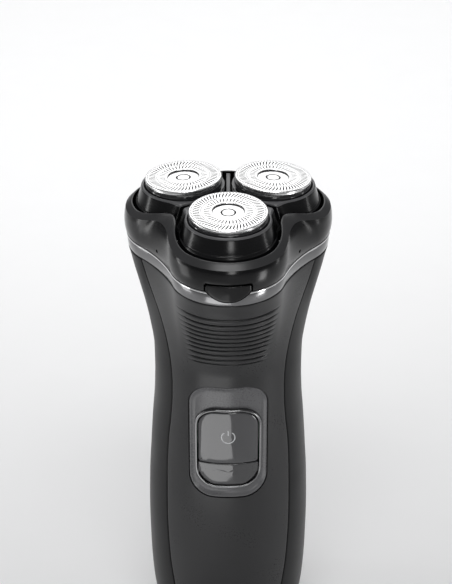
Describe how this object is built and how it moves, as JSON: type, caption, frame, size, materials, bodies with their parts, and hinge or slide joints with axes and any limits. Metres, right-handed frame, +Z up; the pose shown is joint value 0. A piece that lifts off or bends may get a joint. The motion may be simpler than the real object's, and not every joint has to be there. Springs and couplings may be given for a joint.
{
  "type": "electric shaver",
  "caption": "Cordless rotary shaver with floating round shaving heads, a hinged head, a metal trim band and a waisted handle with soft side grips.",
  "frame": {"origin": "centre of the flat underside of the base, on the handle's axis", "axes": "+Z up along the handle toward the shaving heads, -Y toward the front with the buttons, +X to the right as seen from behind the front face (viewer's right when looking at the front)"},
  "size_m": [0.0644, 0.063, 0.1606],
  "materials": {
    "satin_grey": "satin, fine horizontal grooves",
    "black_gloss": "high gloss",
    "case_black": "moulded",
    "grip_rubber": "soft-touch, matte",
    "trim_metal": "bright satin chrome",
    "panel_grey": "semi-gloss",
    "button_gloss": "high gloss",
    "lens_smoke": "smoked translucent",
    "deck_grey": "moulded",
    "pod_grey": "satin top, gloss side",
    "cap_steel": "stamped, circular brushed",
    "rim_dark": "gloss",
    "cutter_steel": "ground",
    "gear_white": "acetal",
    "spindle_plastic": "moulded",
    "brass": "plain",
    "steel": "plain",
    "motor_metal": "zinc plated",
    "hinge_plastic": "moulded",
    "seal_rubber": "soft",
    "battery_wrap": "shrink sleeve",
    "board_green": "solder mask",
    "board_black": "moulded"
  },
  "bodies": {
    "handle": {"base_cap": "black_gloss", "charging_socket": "gear_white", "charging_pins": "brass", "trim_band": "trim_metal", "hinge_bracket": "hinge_plastic", "hinge_pin": "steel", "drive_deck": "deck_grey", "deck_screws": "steel", "deck_seal": "seal_rubber", "gear_plate": "deck_grey", "gear_axles": "steel", "motor_screws": "steel", "motor_case": "motor_metal", "battery_cell": "battery_wrap", "battery_tabs": "brass", "inner_frame": "deck_grey", "pcb_screws": "steel", "circuit_board": "board_green", "board_components": "board_black", "frame_screws": "steel", "control_panel": "panel_grey", "button_ring": "trim_metal", "indicator_lens": "lens_smoke", "power_switch": "board_black", "power_button_spring": "steel", "front_shell": "case_black", "rear_shell": "case_black", "left_grip": "grip_rubber", "right_grip": "grip_rubber", "front_panel": "satin_grey", "rear_panel": "black_gloss", "release_spring": "steel"},
    "power_button": {"power_button": "button_gloss"},
    "release_button": {"release_button": "black_gloss"},
    "motor": {"motor_rotor": "steel", "motor_pinion": "brass"},
    "head": {"head_housing": "black_gloss", "retaining_frame": "deck_grey", "centre_rib": "pod_grey"},
    "gear_front": {"drive_gear_front": "gear_white", "drive_spindle_front": "spindle_plastic"},
    "pod_front": {"pod_front": "pod_grey", "cap_spring_front": "steel"},
    "cap_front": {"cap_front": "cap_steel", "cap_rim_front": "rim_dark"},
    "cutter_front": {"cutter_front": "cutter_steel"},
    "gear_right": {"drive_gear_right": "gear_white", "drive_spindle_right": "spindle_plastic"},
    "pod_right": {"pod_right": "pod_grey", "cap_spring_right": "steel"},
    "cap_right": {"cap_right": "cap_steel", "cap_rim_right": "rim_dark"},
    "cutter_right": {"cutter_right": "cutter_steel"},
    "gear_left": {"drive_gear_left": "gear_white", "drive_spindle_left": "spindle_plastic"},
    "pod_left": {"pod_left": "pod_grey", "cap_spring_left": "steel"},
    "cap_left": {"cap_left": "cap_steel", "cap_rim_left": "rim_dark"},
    "cutter_left": {"cutter_left": "cutter_steel"}
  },
  "joints": [
    {"name": "head_open", "type": "hinge", "parent": "handle", "child": "head", "pos_m": [0, 0.0268, 0.14215], "axis": [-1, 0, 0], "range_deg": [0, 95]},
    {"name": "release_press", "type": "slide", "parent": "handle", "child": "release_button", "axis": [0, 1, 0], "range_m": [0, 0.0012], "stiffness_N_per_m": 900, "springref_m": -0.0006, "deforming": ["release_spring"]},
    {"name": "power_press", "type": "slide", "parent": "handle", "child": "power_button", "axis": [0, 1, 0], "range_m": [0, 0.0006], "stiffness_N_per_m": 1200, "springref_m": -0.0004, "deforming": ["power_button_spring"]},
    {"name": "motor_spin", "type": "hinge", "parent": "handle", "child": "motor", "pos_m": [0, 0, 0.115], "axis": [0, 0, 1], "continuous": true},
    {"name": "gear_spin_front", "type": "hinge", "parent": "handle", "child": "gear_front", "pos_m": [0, -0.0153, 0.1315], "axis": [0, 0, 1], "continuous": true},
    {"name": "pod_tilt_front", "type": "hinge", "parent": "head", "child": "pod_front", "pos_m": [0, -0.0159, 0.1495], "axis": [1, 0, 0], "range_deg": [-3, 3], "stiffness_Nm_per_rad": 0.35},
    {"name": "cap_float_front", "type": "slide", "parent": "pod_front", "child": "cap_front", "axis": [0, 0.0523, -0.9986], "range_m": [0, 0.0008], "stiffness_N_per_m": 600, "springref_m": -0.0012, "deforming": ["cap_spring_front"]},
    {"name": "cutter_spin_front", "type": "hinge", "parent": "cap_front", "child": "cutter_front", "pos_m": [0, -0.0159, 0.16], "axis": [0, -0.0523, 0.9986], "continuous": true},
    {"name": "gear_spin_right", "type": "hinge", "parent": "handle", "child": "gear_right", "pos_m": [0.01325, 0.00765, 0.1315], "axis": [0, 0, 1], "continuous": true},
    {"name": "pod_tilt_right", "type": "hinge", "parent": "head", "child": "pod_right", "pos_m": [0.01377, 0.00795, 0.1495], "axis": [-0.5, 0.866, 0], "range_deg": [-3, 3], "stiffness_Nm_per_rad": 0.35},
    {"name": "cap_float_right", "type": "slide", "parent": "pod_right", "child": "cap_right", "axis": [-0.0453, -0.0262, -0.9986], "range_m": [0, 0.0008], "stiffness_N_per_m": 600, "springref_m": -0.0012, "deforming": ["cap_spring_right"]},
    {"name": "cutter_spin_right", "type": "hinge", "parent": "cap_right", "child": "cutter_right", "pos_m": [0.01377, 0.00795, 0.16], "axis": [0.0453, 0.0262, 0.9986], "continuous": true},
    {"name": "gear_spin_left", "type": "hinge", "parent": "handle", "child": "gear_left", "pos_m": [-0.01325, 0.00765, 0.1315], "axis": [0, 0, 1], "continuous": true},
    {"name": "pod_tilt_left", "type": "hinge", "parent": "head", "child": "pod_left", "pos_m": [-0.01377, 0.00795, 0.1495], "axis": [-0.5, -0.866, 0], "range_deg": [-3, 3], "stiffness_Nm_per_rad": 0.35},
    {"name": "cap_float_left", "type": "slide", "parent": "pod_left", "child": "cap_left", "axis": [0.0453, -0.0262, -0.9986], "range_m": [0, 0.0008], "stiffness_N_per_m": 600, "springref_m": -0.0012, "deforming": ["cap_spring_left"]},
    {"name": "cutter_spin_left", "type": "hinge", "parent": "cap_left", "child": "cutter_left", "pos_m": [-0.01377, 0.00795, 0.16], "axis": [-0.0453, 0.0262, 0.9986], "continuous": true}
  ],
  "couplings": [
    {"joint": "gear_spin_front", "follows": "motor_spin", "ratio": -0.37838},
    {"joint": "cutter_spin_front", "follows": "motor_spin", "ratio": -0.37838},
    {"joint": "gear_spin_right", "follows": "motor_spin", "ratio": -0.37838},
    {"joint": "cutter_spin_right", "follows": "motor_spin", "ratio": -0.37838},
    {"joint": "gear_spin_left", "follows": "motor_spin", "ratio": -0.37838},
    {"joint": "cutter_spin_left", "follows": "motor_spin", "ratio": -0.37838}
  ]
}
